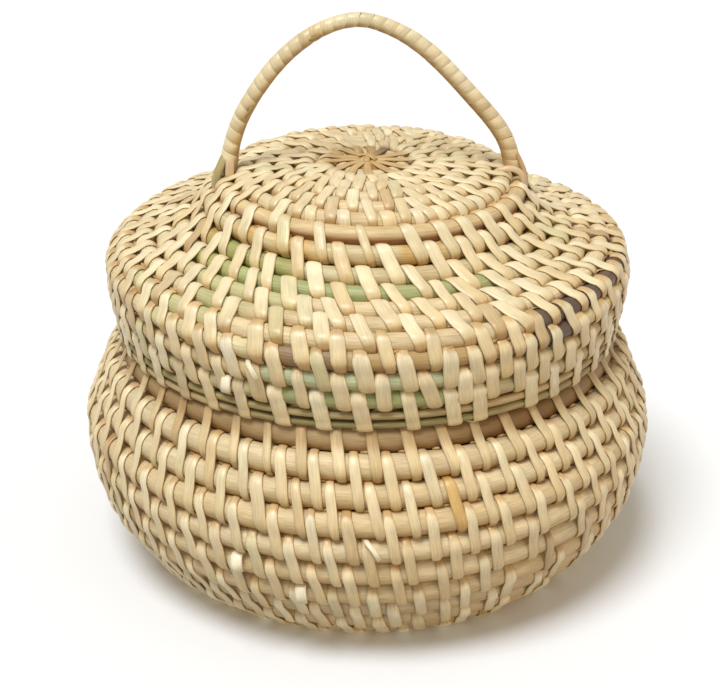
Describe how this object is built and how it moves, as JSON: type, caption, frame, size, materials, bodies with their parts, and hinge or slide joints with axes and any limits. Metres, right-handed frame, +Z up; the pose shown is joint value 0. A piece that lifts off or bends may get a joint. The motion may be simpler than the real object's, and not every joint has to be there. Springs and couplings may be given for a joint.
{
  "type": "cane storage box",
  "caption": "Round coiled cane box: bellied pot, stepped domed lid that lifts off, and an upright arched handle wound with cane strip.",
  "frame": {"origin": "on the table, under the middle of the pot", "axes": "+Z up, -Y towards the front of the picture, the handle's arch stands close to the XZ plane"},
  "size_m": [0.1997, 0.1999, 0.1896],
  "materials": {
    "pot_cane_cream": "natural cream cane, smooth with a soft gloss",
    "pot_cane_straw": "straw-coloured cane, smooth with a soft gloss",
    "lid_cane_cream": "natural cream cane, smooth with a soft gloss",
    "lid_cane_ochre": "ochre brown cane, smooth with a soft gloss",
    "lid_cane_green": "pale green cane, smooth with a soft gloss",
    "lid_rim_olive": "olive green split cane, lightly fluted, soft gloss",
    "handle_cane": "straw-coloured cane, satin",
    "handle_strip": "cream cane strip, satin"
  },
  "bodies": {
    "pot": {"pot_start_knot": "pot_cane_cream", "pot_start_star": "pot_cane_cream", "pot_base_cane": "pot_cane_straw", "pot_foot_cane": "pot_cane_cream", "pot_lower_cane": "pot_cane_straw", "pot_belly_cane": "pot_cane_cream", "pot_upper_cane": "pot_cane_straw", "pot_seat_hoop": "pot_cane_cream", "pot_collar_hoop": "pot_cane_straw", "pot_mouth_hoop": "pot_cane_cream"},
    "lid": {"lid_start_knot": "lid_cane_cream", "lid_start_star": "lid_cane_cream", "lid_crown_cane": "lid_cane_cream", "lid_ridge_cane": "lid_cane_ochre", "lid_shoulder_cane": "lid_cane_green", "lid_upper_side_cane": "lid_cane_cream", "lid_lower_side_cane": "lid_cane_green", "lid_rim_upper_hoop": "lid_rim_olive", "lid_rim_lower_hoop": "lid_rim_olive", "handle_rod": "handle_cane", "handle_wrap": "handle_strip", "handle_left_lashing": "lid_cane_cream", "handle_right_lashing": "lid_cane_cream"}
  },
  "joints": [
    {"name": "lid_lift", "type": "slide", "parent": "pot", "child": "lid", "axis": [0, 0, 1], "range_m": [0, 0.12]}
  ]
}
